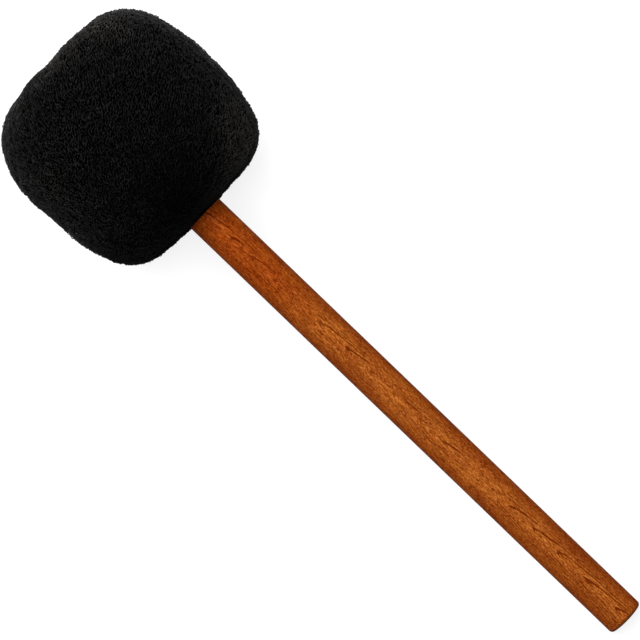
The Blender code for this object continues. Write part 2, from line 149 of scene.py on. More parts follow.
def blend(tree, share, first, second):
    """A colour between two others."""
    mix = add_node(tree, "ShaderNodeMix", data_type="RGBA")
    for index, value in ((0, share), (6, first), (7, second)):
        if isinstance(value, bpy.types.NodeSocket):
            tree.links.new(value, mix.inputs[index])
        else:
            mix.inputs[index].default_value = value
    return mix.outputs[2]


def noise_at(tree, vector, scale, detail=2.0, roughness=0.5):
    inputs = {"Vector": vector, "Scale": scale, "Detail": detail, "Roughness": roughness}
    return add_node(tree, "ShaderNodeTexNoise", inputs).outputs["Fac"]


def colour(red, green, blue):
    return (red, green, blue, 1.0)


def new_material(name, constants):
    """A material, its node tree and its Principled shader with these constants set on it."""
    material = bpy.data.materials.new(name)
    material.use_nodes = True
    tree = material.node_tree
    shader = tree.nodes["Principled BSDF"]
    for key, value in constants.items():
        shader.inputs[key].default_value = value
    return material, tree, shader


def new_group(name, inputs, outputs):
    """A node group with named sockets, and the nodes that stand for its two ends."""
    group = bpy.data.node_groups.new(name, "ShaderNodeTree")
    for socket, kind, default in inputs:
        item = group.interface.new_socket(socket, in_out="INPUT", socket_type=kind)
        if default is not None:
            item.default_value = default
    for socket, kind in outputs:
        group.interface.new_socket(socket, in_out="OUTPUT", socket_type=kind)
    start = group.nodes.new("NodeGroupInput")
    end = group.nodes.new("NodeGroupOutput")
    return group, start.outputs, end.inputs


def use_group(tree, group, inputs):
    node = tree.nodes.new("ShaderNodeGroup")
    node.node_tree = group
    for key, value in inputs.items():
        if isinstance(value, bpy.types.NodeSocket):
            tree.links.new(value, node.inputs[key])
        else:
            node.inputs[key].default_value = value
    return node.outputs


def mallet_coordinates(tree):
    """Coordinates round the mallet's axis. Every piece's mesh lies in place, so they turn it back."""
    inputs = {
        "Vector": add_node(tree, "ShaderNodeTexCoord").outputs["Object"],
        "Location": mallet_inverse.translation,
        "Rotation": mallet_inverse.to_euler(),
    }
    return add_node(tree, "ShaderNodeMapping", inputs).outputs["Vector"]


# %% [markdown]
# ## Floor and light
#
# The photograph is a cut-out on plain white. A white floor would need far too much light to reach
# pure white, so the camera alone sees the floor glow a little, and lamps stay at a level at which
# colours render as they are written. The glow leaves room for a soft shadow.

# %% Floor
FLOOR_SIZE = 12.0
FLOOR_GLOW = 0.84

floor_material, tree, shader = new_material("white_floor", {"Roughness": 0.9})
spots = noise_at(tree, mallet_coordinates(tree), 3.0)
paper = blend(tree, spots, colour(0.24, 0.24, 0.24), colour(0.26, 0.26, 0.26))
tree.links.new(paper, shader.inputs["Base Color"])
glow = add_node(tree, "ShaderNodeEmission", {"Color": colour(1, 1, 1), "Strength": FLOOR_GLOW})
seen = add_node(tree, "ShaderNodeAddShader", {0: shader.outputs[0], 1: glow.outputs[0]})
rays = add_node(tree, "ShaderNodeLightPath").outputs
direct = maths(tree, "MAXIMUM", rays["Is Camera Ray"], rays["Is Glossy Ray"])
direct = maths(tree, "MAXIMUM", direct, rays["Is Transmission Ray"])
choice = add_node(
    tree, "ShaderNodeMixShader", {0: direct, 1: shader.outputs[0], 2: seen.outputs[0]}
)
tree.links.new(choice.outputs[0], tree.nodes["Material Output"].inputs["Surface"])

floor_mesh = bpy.data.meshes.new("floor")
half = FLOOR_SIZE / 2
corners = [(-half, -half, 0.0), (half, -half, 0.0), (half, half, 0.0), (-half, half, 0.0)]
floor_mesh.from_pydata(corners, [], [(0, 1, 2, 3)])
floor_mesh.materials.append(floor_material)
floor = bpy.data.objects.new("floor", floor_mesh)
bpy.context.scene.collection.objects.link(floor)

# %% World and lamps
WORLD_LIGHT = 0.05

world = bpy.data.worlds.new("studio")
bpy.context.scene.world = world
world.use_nodes = True
tree = world.node_tree
background = tree.nodes["Background"]
background.inputs["Color"].default_value = colour(1, 1, 1)
background.inputs["Strength"].default_value = WORLD_LIGHT
white = add_node(tree, "ShaderNodeBackground", {"Color": colour(1, 1, 1), "Strength": 1.0})
rays = add_node(tree, "ShaderNodeLightPath").outputs
direct = maths(tree, "MAXIMUM", rays["Is Camera Ray"], rays["Is Glossy Ray"])
direct = maths(tree, "MAXIMUM", direct, rays["Is Transmission Ray"])
choice = add_node(
    tree, "ShaderNodeMixShader", {0: direct, 1: background.outputs[0], 2: white.outputs[0]}
)
tree.links.new(choice.outputs[0], tree.nodes["World Output"].inputs["Surface"])


def soft_lamp(name, power, size, crownwards, rightwards, back):
    """A square lamp that faces the aim, from where the head's crown, its fuller side and up lie."""
    lamp = bpy.data.lights.new(name, "AREA")
    lamp.energy = power
    lamp.size = size
    obj = bpy.data.objects.new(name, lamp)
    bpy.context.scene.collection.objects.link(obj)
    offset = along * crownwards + sideways * rightwards + upwards * back
    obj.location = aim + offset
    obj.rotation_euler = offset.to_track_quat("Z", "Y").to_euler()


soft_lamp("front_light", 55.0, 1.3, 0.62, 0.03, 2.02)
soft_lamp("crown_light", 12.0, 0.5, 1.25, -0.10, 0.08)
soft_lamp("side_light", 1.0, 0.5, -0.7, 0.95, 0.2)
bpy.context.scene.view_settings.view_transform = "Standard"

# %% [markdown]
# ## Grain of turned wood
#
# A dowel is cut from a plank with its growth rings nearly parallel to one side, and where a ring
# comes out on the round surface it draws a long V. The rings here are the distance from a far pith,
# plus a slow drift along the shaft that closes them into tips. A ring that meets the surface at a
# shallow angle would draw a broad band, so the width of its line is taken from that angle.
#
# Pores are short dark dashes, streaks run along with the rings, and flecks are the small spots in
# between. Each is a noise that is stretched along the grain, and patches vary the tone slowly.

# %% Wood grain group
wood_inputs = [
    ("Vector", "NodeSocketVector", None),
    ("Ring Spacing", "NodeSocketFloat", 0.0016),
    ("Ring Lean", "NodeSocketFloat", 0.03),
    ("Wander", "NodeSocketFloat", 0.006),
    ("Pore Share", "NodeSocketFloat", 0.5),
]
wood_outputs = [
    ("Rings", "NodeSocketFloat"),
    ("Pores", "NodeSocketFloat"),
    ("Streaks", "NodeSocketFloat"),
    ("Flecks", "NodeSocketFloat"),
    ("Patches", "NodeSocketFloat"),
]
wood_grain, given, result = new_group("wood_grain", wood_inputs, wood_outputs)
PITH_DISTANCE = 0.055
PITH_ASIDE = 0.0012
LINE_WIDTH = 0.00024


def stretched_noise(tree, vector, across_scale, along_scale, detail=2.0, roughness=0.5):
    """A noise whose specks are long in the direction of the grain."""
    scale = (across_scale, across_scale, along_scale)
    place = add_node(tree, "ShaderNodeMapping", {"Vector": vector, "Scale": scale}).outputs[0]
    return noise_at(tree, place, 1.0, detail, roughness)


axes = add_node(wood_grain, "ShaderNodeSeparateXYZ", {0: given["Vector"]}).outputs
drift = stretched_noise(wood_grain, given["Vector"], 30.0, 14.0)
waver = stretched_noise(wood_grain, given["Vector"], 500.0, 60.0)
beside = maths(wood_grain, "ADD", axes["Y"], PITH_ASIDE)
squared = maths(wood_grain, "MULTIPLY", beside, beside)
curve = maths(wood_grain, "DIVIDE", squared, 2 * PITH_DISTANCE)
lean = maths(wood_grain, "MULTIPLY", axes["Z"], given["Ring Lean"])
depth = maths(wood_grain, "SUBTRACT", maths(wood_grain, "ADD", axes["X"], curve), lean)
depth = maths(wood_grain, "ADD", depth, maths(wood_grain, "MULTIPLY", drift, given["Wander"]))
depth = maths(wood_grain, "ADD", depth, maths(wood_grain, "MULTIPLY", waver, 0.0002))
phase = maths(wood_grain, "FRACT", maths(wood_grain, "DIVIDE", depth, given["Ring Spacing"]))
high = maths(wood_grain, "MAXIMUM", maths(wood_grain, "ABSOLUTE", axes["X"]), 0.003)
steep = maths(wood_grain, "DIVIDE", maths(wood_grain, "ABSOLUTE", beside), high)
slope = maths(wood_grain, "ADD", steep, given["Ring Lean"])
width = maths(wood_grain, "MULTIPLY", slope, LINE_WIDTH)
width = maths(wood_grain, "DIVIDE", width, given["Ring Spacing"])
width = maths(wood_grain, "MINIMUM", width, 0.2)
off_line = maths(wood_grain, "ABSOLUTE", maths(wood_grain, "SUBTRACT", phase, 0.5))
core_width = maths(wood_grain, "MULTIPLY", width, 0.6)
ring = remap(wood_grain, off_line, core_width, width, 1.0, 0.0)
by_butt = remap(wood_grain, axes["Z"], 0.03, 0.10, 0.25, 0.0)
clear = stretched_noise(wood_grain, given["Vector"], 260.0, 40.0)
clear = remap(wood_grain, maths(wood_grain, "ADD", clear, by_butt), 0.42, 0.62)
clear = maths(wood_grain, "MULTIPLY", clear, remap(wood_grain, steep, 0.35, 1.0, 1.0, 0.35))
wood_grain.links.new(maths(wood_grain, "MULTIPLY", ring, clear), result["Rings"])

dashes = stretched_noise(wood_grain, given["Vector"], 2100.0, 330.0, 1.0, 0.6)
threshold = remap(wood_grain, given["Pore Share"], 0.0, 1.0, 0.72, 0.42)
ceiling = maths(wood_grain, "ADD", threshold, 0.05)
pores = remap(wood_grain, dashes, threshold, ceiling, smooth=True)
wood_grain.links.new(pores, result["Pores"])

flow = {
    "X": maths(wood_grain, "MULTIPLY", depth, 3600.0),
    "Y": maths(wood_grain, "MULTIPLY", axes["Y"], 1900.0),
    "Z": maths(wood_grain, "MULTIPLY", axes["Z"], 130.0),
}
flow = add_node(wood_grain, "ShaderNodeCombineXYZ", flow).outputs[0]
streaks = noise_at(wood_grain, flow, 1.0, 1.0)
wood_grain.links.new(streaks, result["Streaks"])
flecks = stretched_noise(wood_grain, given["Vector"], 2300.0, 700.0, 1.0)
wood_grain.links.new(flecks, result["Flecks"])
patches = stretched_noise(wood_grain, given["Vector"], 210.0, 38.0, 3.0)
wood_grain.links.new(patches, result["Patches"])
print("wood_grain group:", len(wood_grain.nodes), "nodes")

# %% [markdown]
# ## Stain and varnish
#
# The stain is darkest in the ring lines and the pores and palest in the flecks. Down the sides and
# towards the head a red tint multiplies the grain, so that its contrast stays. This is painted shade: for
# the sides, which turn away from the light, and for the head's shadow on the shaft. The varnish is dull:
# mirror rays meet a pure white room here, and a glossier one would look chalky.

# %% Stained and varnished hardwood
stained_hardwood, tree, shader = new_material(
    "stained_hardwood_finish", {"IOR": 1.5, "Specular IOR Level": 0.004}
)
DARK_STAIN = colour(0.120, 0.013, 0.0008)
MIDDLE_STAIN = colour(0.335, 0.063, 0.0052)
LIGHT_STAIN = colour(0.590, 0.167, 0.019)
PALE_STAIN = colour(0.720, 0.310, 0.085)
# The tint of the painted shade down the sides and towards the head.
RED_SHADE_TINT = (0.76, 0.36, 0.10)
place = mallet_coordinates(tree)
grain_inputs = {"Vector": place, "Ring Spacing": 0.0004, "Ring Lean": 0.0225, "Wander": 0.001}
grain = use_group(tree, wood_grain, {**grain_inputs, "Pore Share": 0.45})
tone = blend(tree, remap(tree, grain["Patches"], 0.25, 0.8), MIDDLE_STAIN, LIGHT_STAIN)
lines = remap(tree, grain["Streaks"], 0.5, 0.55)
tone = blend(tree, remap(tree, grain["Flecks"], 0.38, 0.48, 0.35, 0.0), tone, PALE_STAIN)
tone = blend(tree, remap(tree, grain["Flecks"], 0.48, 0.58, 0.0, 0.4), tone, DARK_STAIN)
tone = blend(tree, maths(tree, "MULTIPLY", lines, 0.4), tone, DARK_STAIN)
tone = blend(tree, maths(tree, "MULTIPLY", grain["Rings"], 0.9), tone, DARK_STAIN)
tone = blend(tree, maths(tree, "MULTIPLY", grain["Pores"], 0.7), tone, DARK_STAIN)
axes = add_node(tree, "ShaderNodeSeparateXYZ", {0: place}).outputs
# Painted shade: darker and redder towards the head, where the head shades the shaft, and down the sides,
# which turn away from the light.
head_shade = remap(tree, axes["Z"], 0.215, 0.27, 0.0, 0.6, smooth=True)
sides = remap(tree, maths(tree, "ABSOLUTE", axes["Y"]), 0.35 * shaft_radius, shaft_radius, 0.0, 0.6)
painted_shade_tone = add_node(tree, "ShaderNodeVectorMath", {0: tone, 1: RED_SHADE_TINT}, operation="MULTIPLY")
tone = blend(tree, maths(tree, "MAXIMUM", head_shade, sides), tone, painted_shade_tone.outputs[0])
rim = remap(tree, axes["Z"], 0.0006, 0.0026, 1.0, 0.0, smooth=True)
tone = blend(tree, maths(tree, "MULTIPLY", rim, 0.6), tone, DARK_STAIN)
tree.links.new(tone, shader.inputs["Base Color"])
sheen_of_varnish = remap(tree, grain["Streaks"], 0.2, 0.8, 0.34, 0.46)
rough = maths(tree, "ADD", sheen_of_varnish, maths(tree, "MULTIPLY", grain["Pores"], 0.2))
tree.links.new(rough, shader.inputs["Roughness"])
relief = maths(tree, "SUBTRACT", maths(tree, "MULTIPLY", grain["Streaks"], 0.3), grain["Pores"])
bump = add_node(tree, "ShaderNodeBump", {"Height": relief, "Strength": 0.3, "Distance": 0.0002})
tree.links.new(bump.outputs[0], shader.inputs["Normal"])

# %% Bare maple for the core
maple, tree, shader = new_material("bare_maple", {"IOR": 1.45})
grain_inputs = {"Vector": mallet_coordinates(tree), "Ring Spacing": 0.0022, "Ring Lean": 0.02}
grain = use_group(tree, wood_grain, {**grain_inputs, "Pore Share": 0.35})
tone = blend(tree, grain["Streaks"], colour(0.50, 0.33, 0.18), colour(0.62, 0.44, 0.26))
tone = blend(tree, maths(tree, "MULTIPLY", grain["Rings"], 0.4), tone, colour(0.36, 0.21, 0.10))
tone = blend(tree, maths(tree, "MULTIPLY", grain["Pores"], 0.35), tone, colour(0.26, 0.15, 0.07))
tree.links.new(tone, shader.inputs["Base Color"])
tree.links.new(remap(tree, grain["Streaks"], 0.2, 0.8, 0.55, 0.7), shader.inputs["Roughness"])
bump = add_node(
    tree, "ShaderNodeBump", {"Height": grain["Streaks"], "Strength": 0.3, "Distance": 0.0002}
)
tree.links.new(bump.outputs[0], shader.inputs["Normal"])

# %% [markdown]
# ## Turned metal
#
# A lathe leaves fine rings round the axis on the weight and the washer, and plating adds faint
# mottling. Both come from one group: a noise that changes fast along the radius and the height but
# not round the axis, and a second one for the mottling.

# %% Turned metal group
metal_inputs = [("Vector", "NodeSocketVector", None), ("Mark Scale", "NodeSocketFloat", 4000.0)]
metal_outputs = [("Marks", "NodeSocketFloat"), ("Mottling", "NodeSocketFloat")]
turned_metal, given, result = new_group("turned_metal", metal_inputs, metal_outputs)
axes = add_node(turned_metal, "ShaderNodeSeparateXYZ", {0: given["Vector"]}).outputs
across = maths(turned_metal, "MULTIPLY", axes["X"], axes["X"])
across = maths(turned_metal, "ADD", across, maths(turned_metal, "MULTIPLY", axes["Y"], axes["Y"]))
radius = maths(turned_metal, "SQRT", across)
rings = add_node(turned_metal, "ShaderNodeCombineXYZ", {"X": radius, "Z": axes["Z"]}).outputs[0]
marks = noise_at(turned_metal, rings, given["Mark Scale"], 2.0)
turned_metal.links.new(marks, result["Marks"])
turned_metal.links.new(noise_at(turned_metal, given["Vector"], 160.0, 3.0), result["Mottling"])


def metal_finish(name, dull, bright, roughness, mark_scale):
    material, tree, shader = new_material(name, {"Metallic": 1.0})
    turning = {"Vector": mallet_coordinates(tree), "Mark Scale": mark_scale}
    turned = use_group(tree, turned_metal, turning)
    tree.links.new(blend(tree, turned["Mottling"], dull, bright), shader.inputs["Base Color"])
    rough = remap(tree, turned["Marks"], 0.3, 0.7, roughness - 0.08, roughness + 0.1)
    tree.links.new(rough, shader.inputs["Roughness"])
    height = {"Height": turned["Marks"], "Strength": 0.2, "Distance": 0.00005}
    bump = add_node(tree, "ShaderNodeBump", height)
    tree.links.new(bump.outputs[0], shader.inputs["Normal"])
    return material


turned_steel = metal_finish(
    "turned_steel", colour(0.44, 0.44, 0.45), colour(0.56, 0.56, 0.57), 0.32, 4200.0
)
zinc_plate = metal_finish(
    "zinc_plate", colour(0.56, 0.55, 0.48), colour(0.66, 0.66, 0.64), 0.28, 2600.0
)

# %% [markdown]
# ## Felt, wadding and pile
#
# Pressed felt and wadding are tangles of fibres. One group makes the tangle from a fine noise that
# is bent by a coarser one, and each material takes it at its own scale and depth.

# %% Tangled fibre group
fibre_inputs = [("Vector", "NodeSocketVector", None), ("Fibre Scale", "NodeSocketFloat", 1500.0)]
fibre_outputs = [("Fibres", "NodeSocketFloat"), ("Clumps", "NodeSocketFloat")]
tangled_fibre, given, result = new_group("tangled_fibre", fibre_inputs, fibre_outputs)
inputs = {"Vector": given["Vector"], "Scale": 220.0, "Detail": 2.0}
bend = add_node(tangled_fibre, "ShaderNodeTexNoise", inputs).outputs["Color"]
inputs = {0: bend, "Scale": 0.004}
bend = add_node(tangled_fibre, "ShaderNodeVectorMath", inputs, operation="SCALE").outputs[0]
bent = add_node(tangled_fibre, "ShaderNodeVectorMath", {0: given["Vector"], 1: bend}).outputs[0]
fibres = noise_at(tangled_fibre, bent, given["Fibre Scale"], 4.0, 0.6)
tangled_fibre.links.new(fibres, result["Fibres"])
tangled_fibre.links.new(noise_at(tangled_fibre, given["Vector"], 330.0, 2.0), result["Clumps"])


def fibre_finish(name, dark, light, scale, depth, sheen=0.3, specular=0.2):
    constants = {"Roughness": 0.95, "Specular IOR Level": specular}
    constants.update({"Sheen Weight": sheen, "Sheen Roughness": 0.5})
    material, tree, shader = new_material(name, constants)
    spread = {"Vector": mallet_coordinates(tree), "Fibre Scale": scale}
    tangle = use_group(tree, tangled_fibre, spread)
    share = maths(tree, "MULTIPLY", tangle["Fibres"], tangle["Clumps"])
    share = remap(tree, share, 0.12, 0.4)
    tree.links.new(blend(tree, share, dark, light), shader.inputs["Base Color"])
    height = {"Height": tangle["Fibres"], "Strength": 0.6, "Distance": depth}
    bump = add_node(tree, "ShaderNodeBump", height)
    tree.links.new(bump.outputs[0], shader.inputs["Normal"])
    return material


grey_felt = fibre_finish(
    "grey_felt_finish", colour(0.20, 0.195, 0.18), colour(0.42, 0.41, 0.39), 1700.0, 0.0004
)
white_felt = fibre_finish(
    "white_felt_finish", colour(0.48, 0.46, 0.40), colour(0.72, 0.70, 0.64), 1500.0, 0.0005
)
wadding = fibre_finish(
    "wadding_finish", colour(0.60, 0.59, 0.57), colour(0.80, 0.80, 0.78), 900.0, 0.0010
)
fleece_backing = fibre_finish(
    "fleece_backing", colour(0.0005, 0.0005, 0.0005), colour(0.001, 0.001, 0.001), 1200.0, 0.0006, 0, 0
)

# %% Pile fibre
constants = {"Roughness": 0.8, "Specular IOR Level": 0.0, "Sheen Roughness": 0.4}
black_pile, tree, shader = new_material("black_pile", constants)
axes = add_node(tree, "ShaderNodeSeparateXYZ", {0: mallet_coordinates(tree)}).outputs
# Painted shade: the pile's sheen is weaker by the neck.
neck_shade_place = maths(tree, "ADD", axes["Z"], maths(tree, "MULTIPLY", axes["Y"], 0.35))
sheen = remap(tree, neck_shade_place, 0.318, 0.332, 0.04, 0.11)
tree.links.new(sheen, shader.inputs["Sheen Weight"])
# The fibre tone holds the locks' random tones and also painted shade: along each fibre and by the neck.
tone = add_node(tree, "ShaderNodeAttribute", attribute_name="fibre_tone_and_shade").outputs["Fac"]
wear = add_node(tree, "ShaderNodeAttribute", attribute_name="pile_wear_and_highlight").outputs["Fac"]
# Paler, browner tips by the spots: partly wear, partly painted highlight.
tips = blend(tree, wear, colour(0.018, 0.018, 0.018), colour(0.050, 0.046, 0.042))
pile_colour_and_shade = blend(tree, tone, colour(0.001, 0.001, 0.001), tips)
tree.links.new(pile_colour_and_shade, shader.inputs["Base Color"])

# %% Cord finishes


def cord_finish(name, dark, light, roughness, scale):
    """Twisted cord, whose fibres change its tone. The twist itself is in the mesh."""
    material, tree, shader = new_material(name, {"Specular IOR Level": 0.4})
    spread = {"Vector": mallet_coordinates(tree), "Fibre Scale": scale}
    tangle = use_group(tree, tangled_fibre, spread)
    tree.links.new(blend(tree, tangle["Fibres"], dark, light), shader.inputs["Base Color"])
    rough = remap(tree, tangle["Clumps"], 0.3, 0.7, roughness - 0.08, roughness + 0.08)
    tree.links.new(rough, shader.inputs["Roughness"])
    height = {"Height": tangle["Fibres"], "Strength": 0.4, "Distance": 0.0001}
    bump = add_node(tree, "ShaderNodeBump", height)
    tree.links.new(bump.outputs[0], shader.inputs["Normal"])
    return material


linen_twine = cord_finish(
    "linen_twine_finish", colour(0.40, 0.31, 0.18), colour(0.62, 0.51, 0.34), 0.85, 4000.0
)
waxed_cord = cord_finish(
    "waxed_cord_finish", colour(0.014, 0.014, 0.014), colour(0.045, 0.044, 0.042), 0.55, 4000.0
)

# %% [markdown]
# ## Making meshes
#
# Nearly every piece is a skin over a row of rings, like the hoops of a barrel, so one helper closes
# such a skin. Arrays go straight into the mesh, which stays quick with a few hundred thousand faces.

# %% Mesh helpers


def mesh_from_arrays(name, points, face_sets):
    """A mesh from an array of points and arrays of faces, each with its own number of corners."""
    corners = np.concatenate([faces.ravel() for faces in face_sets])
    sizes = np.concatenate([np.full(len(faces), faces.shape[1]) for faces in face_sets])
    starts = np.concatenate([[0], np.cumsum(sizes)[:-1]])
    mesh = bpy.data.meshes.new(name)
    mesh.vertices.add(len(points))
    mesh.vertices.foreach_set("co", np.asarray(points, np.float32).ravel())
    mesh.loops.add(len(corners))
    mesh.loops.foreach_set("vertex_index", corners.astype(np.int32))
    mesh.polygons.add(len(sizes))
    mesh.polygons.foreach_set("loop_start", starts.astype(np.int32))
    mesh.update(calc_edges=True)
    mesh.shade_smooth()
    return mesh


def skin_over(rings, closed_ends=True):
    """Points and faces of a skin over rings of equal count, with a point closing each end."""
    count, sides = len(rings), len(rings[0])
    points = np.concatenate(rings)
    index = np.arange(count * sides).reshape(count, sides)
    after = np.roll(index, -1, axis=1)
    quads = np.stack([index[:-1], index[1:], after[1:], after[:-1]], axis=-1).reshape(-1, 4)
    if not closed_ends:
        wrapped = np.stack([index[-1], index[0], after[0], after[-1]], axis=-1)
        return points, [np.concatenate([quads, wrapped])]
    points = np.vstack([points, rings[0].mean(axis=0), rings[-1].mean(axis=0)])
    first, last = count * sides, count * sides + 1
    start_cap = np.stack([np.full(sides, first), index[0], after[0]], axis=-1)
    end_cap = np.stack([np.full(sides, last), after[-1], index[-1]], axis=-1)
    return points, [quads, np.concatenate([start_cap, end_cap])]


def laid_in_place(points):
    turned = np.asarray(points) @ np.array(mallet_frame.to_3x3()).T
    return turned + np.array(mallet_frame.translation)


def make_piece(name, points, face_sets, material, node=None):
    """A piece made round the mallet's axis, laid in place and riding on the one rigid body."""
    mesh = mesh_from_arrays(name, laid_in_place(points), face_sets)
    mesh.materials.append(material)
    piece = bpy.data.objects.new(name, mesh)
    bpy.context.scene.collection.objects.link(piece)
    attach(piece, "root")
    if node:
        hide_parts(node)
    print(f"{name}: {len(mesh.polygons)} faces")
    return piece


def hoop(radius, height, sides):
    angles = math.tau * np.arange(sides) / sides
    return np.stack(
        [radius * np.cos(angles), radius * np.sin(angles), np.full(sides, height)], axis=-1
    )


def rounded(profile, radius, steps=6):
    """The profile with each corner turned into an arc that cuts in by at most this radius."""
    found = []
    count = len(profile)
    for i in range(count):
        before, corner, after = (Vector(profile[(i + j) % count]) for j in (-1, 0, 1))
        into, out = before - corner, after - corner
        cut = min(radius, into.length / 2.2, out.length / 2.2)
        start, end = corner + into.normalized() * cut, corner + out.normalized() * cut
        for step in range(steps + 1):
            t = step / steps
            found.append(start * (1 - t) ** 2 + corner * 2 * t * (1 - t) + end * t**2)
    return found


floor_normal = mallet_inverse.to_3x3() @ Vector((0.0, 0.0, 1.0))


def floor_height(points):
    return points @ np.array(floor_normal) + butt_centre.z


def pressed(points, clearance):
    """Points under the floor, or nearer to it than the clearance, moved up to that height."""
    under = np.clip(clearance - floor_height(points), 0, None)
    return points + under[:, None] * np.array(floor_normal)


def turned_skin(profile, sides, closed_ends):
    return skin_over([hoop(point[0], point[1], sides) for point in profile], closed_ends)


# %% [markdown]
# ## Shaft
#
# The shaft is a dowel with a rounded edge and a slightly domed butt, and a thinner tenon inside the
# head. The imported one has 64 sides. This one follows the same outline with three times as many,
# and with a finer edge at the butt, so that its outline runs clean.

# %% Shaft piece
SHAFT_SIDES = 192
BUTT_EDGE = 0.0023
BUTT_DOME = 0.0005
TENON_RADIUS = 0.009
TENON_CHAMFER = 0.001
PILOT_RADIUS = 0.0028
PILOT_DEPTH = 0.0385
SHAFT_RINGS = 90

core_radius, core_start, core_end = node_reach("core")
shoulder = core_start - 0.0003
outline = [(TENON_RADIUS - TENON_CHAMFER, tenon_end), (TENON_RADIUS, tenon_end - TENON_CHAMFER)]
outline += [(TENON_RADIUS, shoulder + 0.0001), (TENON_RADIUS, shoulder), (shaft_radius, shoulder)]
edge_height = BUTT_DOME + BUTT_EDGE
outline += [
    (shaft_radius, shoulder + (edge_height - shoulder) * i / SHAFT_RINGS)
    for i in range(1, SHAFT_RINGS)
]
for i in range(13):
    angle = math.radians(-82 * i / 12)
    outline.append(
        (
            shaft_radius - BUTT_EDGE + BUTT_EDGE * math.cos(angle),
            edge_height + BUTT_EDGE * math.sin(angle),
        )
    )
for i in range(1, 6):
    share = 1 - i / 6
    outline.append((0.004 + (outline[-1][0] - 0.004) * share * 0.7, BUTT_DOME * 0.4 * share**2))
outline += [(0.004, 0.0), (0.002, 0.0), (0.0005, 0.0)]
pilot = [
    (0.0003, tenon_end - PILOT_DEPTH),
    (PILOT_RADIUS, tenon_end - PILOT_DEPTH + 0.003),
    (PILOT_RADIUS, tenon_end - 0.0001),
    (PILOT_RADIUS, tenon_end),
]
points, faces = turned_skin(pilot + outline, SHAFT_SIDES, True)
points = pressed(points, 0.0)
shaft = make_piece("turned_shaft", points, faces, stained_hardwood, "shaft")

# %% [markdown]
# ## Fleece cover
#
# The cover is a sleeve of black fleece. Its outline is a rounded block, flatter at the crown and the
# neck than a ball, and a little fuller on one side. Under the crown a drawcord gathers it into folds
# round a dimple, and at the neck the edge turns in along the shaft as a hem. Where the head rests on
# the floor it is pressed flat. The backing is one closed skin a little inside the outline, and the
# pile that stands on it fills the rest.
#
# Stuffed cloth is never quite even. Two smooth noises give the skin its swell and its nubs, and a few
# dents and bulges follow the photographed outline. Each has its direction, in degrees from the crown
# towards the fuller side, its rise, and its spread in degrees.

# %% Cover outline
HEAD_LENGTH = 0.1170
WIDEST_FROM_NECK = 0.0667
FULL_SIDE_RADIUS = 0.0634
LEAN_SIDE_RADIUS = 0.0607
NECK_HALF_POWER = 2.6
CROWN_HALF_POWER = 1.7
FULL_SIDE_POWER = 5.7
LEAN_SIDE_POWER = 4.9
WALL = 0.0065
FOLDS = 6
FOLD_DEPTH = 0.0022
FOLD_REACH = 0.8
DIMPLE_RADIUS = 0.006
DIMPLE_DEPTH = 0.003
HEM_CLEARANCE = 0.0003
HEM_WALL = 0.003
HEM_LENGTH = 0.0095
LIP_RADIUS = 0.0028
KNOT_RADIUS = 0.0065
KNOT_LENGTH = 0.009

crown_face = neck_face + HEAD_LENGTH
widest = neck_face + WIDEST_FROM_NECK
mean_radius = (FULL_SIDE_RADIUS + LEAN_SIDE_RADIUS) / 2
out_of_round = (FULL_SIDE_RADIUS - LEAN_SIDE_RADIUS) / 2
hem_radius = shaft_radius + HEM_CLEARANCE


def outline_at(crown, step, radius, side_power, inset=0.0):
    """Radius and height of the head's outline at a step in degrees from its widest place."""
    angle = np.radians(step)
    reach = np.sin(angle) ** (2 / (CROWN_HALF_POWER if crown else NECK_HALF_POWER))
    length = (HEAD_LENGTH - WIDEST_FROM_NECK if crown else WIDEST_FROM_NECK) - inset
    height = widest + length * reach if crown else widest - length * reach
    return (radius - inset) * np.cos(angle) ** (2 / side_power), height


def even_steps(crown, radius, side_power, last_radius, spacing):
    """Steps at even distances along the outline, from its widest place in to the last radius."""
    steps = 90 - np.geomspace(90.0, 0.01, 6000)
    radii, heights = outline_at(crown, steps, radius, side_power)
    lengths = np.concatenate([[0], np.cumsum(np.hypot(np.diff(radii), np.diff(heights)))])
    end = np.interp(-last_radius, -radii, lengths)
    count = max(3, round(end / spacing))
    return np.interp(np.linspace(0.0, end, count + 1), lengths, steps)


def fold_depth(radius, angle):
    fade = np.clip(1 - radius / (FOLD_REACH * mean_radius), 0, None)
    fade = fade * np.clip(radius / (2 * DIMPLE_RADIUS), None, 1)
    return FOLD_DEPTH * fade * (1 - np.cos(FOLDS * (angle - math.pi / 2))) / 2


# %% Backing skin
COVER_SIDES = 384
COVER_SPACING = 0.00095
PILE_STAND = 0.0012
SWELL = 0.0009
NUB = 0.0007
DENTS_AND_BULGES = (
    (-102, -0.0005, 10),
    (-72, 0.0010, 14),
    (-27, -0.0004, 7),
    (33, 0.0008, 7),
    (51, -0.0004, 7),
    (93, 0.0006, 7),
    (117, 0.0006, 20),
)

angles = math.tau * (np.arange(COVER_SIDES) + 0.5) / COVER_SIDES
side_radius = mean_radius + out_of_round * np.sin(angles)
mean_power = (FULL_SIDE_POWER + LEAN_SIDE_POWER) / 2
side_power = mean_power + (FULL_SIDE_POWER - LEAN_SIDE_POWER) / 2 * np.sin(angles)


def drawn_in(radius, height, depth):
    """Points moved this far towards the middle of the head."""
    radius = np.broadcast_to(radius, angles.shape).astype(float)
    height = np.broadcast_to(height, angles.shape).astype(float)
    length = np.hypot(radius, height - widest)
    radius = radius - depth * radius / length
    height = height - depth * (height - widest) / length
    return np.stack([radius * np.cos(angles), radius * np.sin(angles), height], axis=-1)


